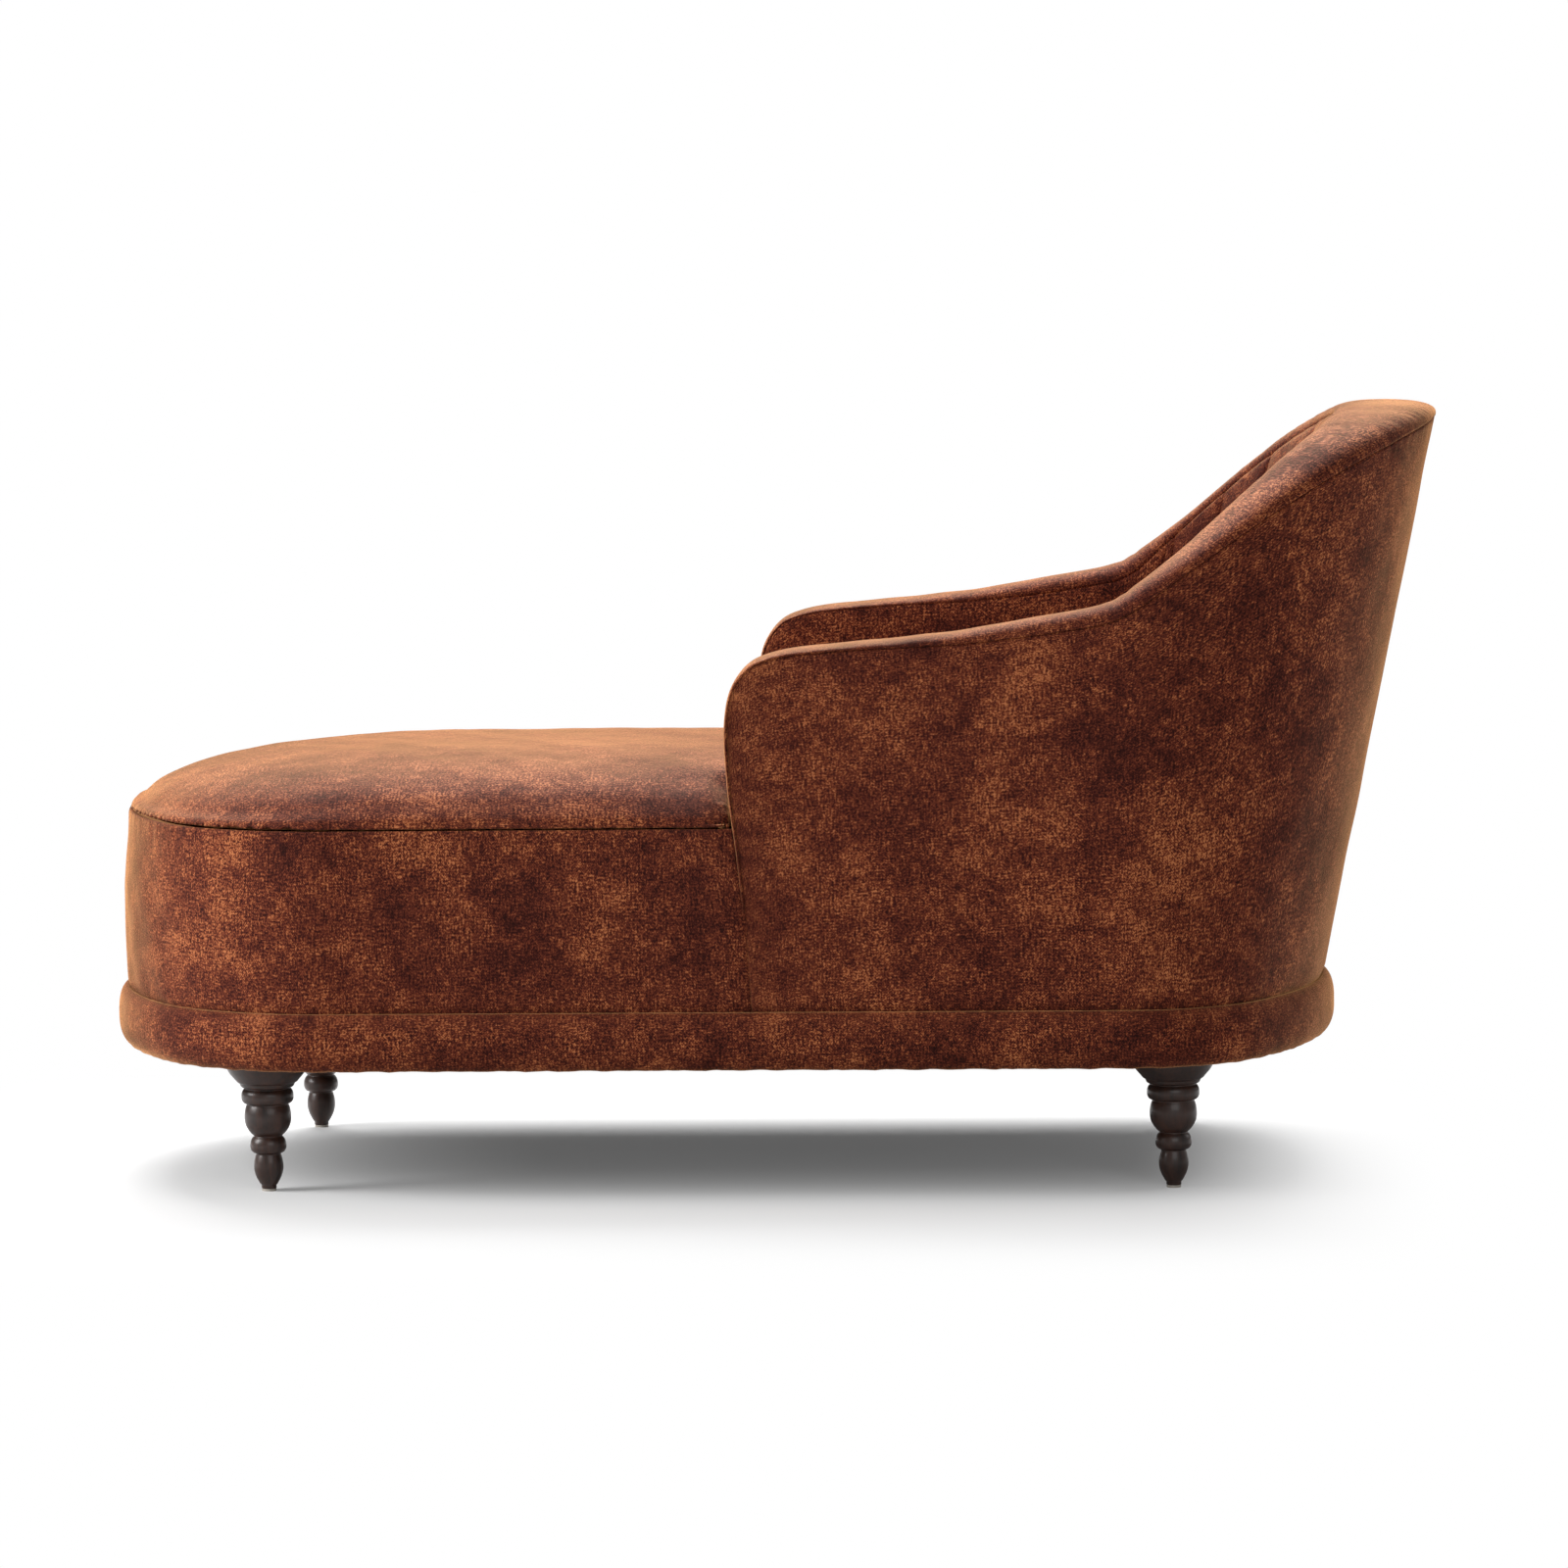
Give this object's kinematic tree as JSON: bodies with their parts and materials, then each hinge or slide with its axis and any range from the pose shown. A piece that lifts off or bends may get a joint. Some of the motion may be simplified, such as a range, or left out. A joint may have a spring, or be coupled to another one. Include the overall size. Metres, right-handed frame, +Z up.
{
  "type": "chaise longue",
  "caption": "Long rounded chaise longue with a crowned seat and a low padded back wall that wraps round one end, on short turned wooden legs.",
  "frame": {"origin": "on the floor under the middle of the overall length and width", "axes": "+X along the length to the back end, +Y to the sitter's left-hand side when facing the foot end, +Z up"},
  "size_m": [1.6948, 0.826, 0.97],
  "materials": {
    "turned_wood": "satin espresso stain",
    "glide_plastic": "moulded nylon",
    "zinc_steel": "zinc plated",
    "frame_wood": "planed hardwood",
    "bending_ply": "sanded bending plywood",
    "dust_cloth": "spun black cloth",
    "webbing": "woven upholstery webbing",
    "felt": "pressed felt",
    "foam": "cut polyurethane foam",
    "wadding": "bonded polyester wadding",
    "velvet": "crushed rust-brown velvet with a sheen"
  },
  "bodies": {
    "root": {"arm_cover_left": "velvet", "arm_cover_right": "velvet", "arm_lining_left": "webbing", "arm_lining_right": "webbing", "arm_pad_left": "foam", "arm_pad_right": "foam", "arm_post_left": "frame_wood", "arm_post_right": "frame_wood", "arm_rail_left": "frame_wood", "arm_rail_right": "frame_wood", "back_cover": "velvet", "back_middle_rail": "frame_wood", "back_pad": "foam", "back_ribs": "frame_wood", "back_top_rail": "frame_wood", "back_webbing": "webbing", "band_core": "foam", "band_cover": "velvet", "base_back_arch": "frame_wood", "base_foot_arch": "frame_wood", "base_plank_front": "frame_wood", "base_plank_middle": "frame_wood", "base_plank_rear": "frame_wood", "base_rail_left": "frame_wood", "base_rail_right": "frame_wood", "dust_cover": "dust_cloth", "foot_glides": "glide_plastic", "frame_screws": "zinc_steel", "frame_uprights": "frame_wood", "hanger_bolts": "zinc_steel", "leg_blocks": "frame_wood", "leg_front_left": "turned_wood", "leg_front_right": "turned_wood", "leg_rear_left": "turned_wood", "leg_rear_right": "turned_wood", "outside_board": "bending_ply", "outside_cover": "velvet", "outside_wadding": "wadding", "rim_cover": "velvet", "rim_foam": "foam", "seat_back_arch": "frame_wood", "seat_border_cover": "velvet", "seat_border_wadding": "wadding", "seat_fascia": "bending_ply", "seat_foam": "foam", "seat_foot_arch": "frame_wood", "seat_insulator": "felt", "seat_rail_left": "frame_wood", "seat_rail_right": "frame_wood", "seat_top_cover": "velvet", "seat_topper": "wadding", "seat_webbing_cross": "webbing", "seat_webbing_long": "webbing", "tee_nuts": "zinc_steel"}
  },
  "joints": []
}
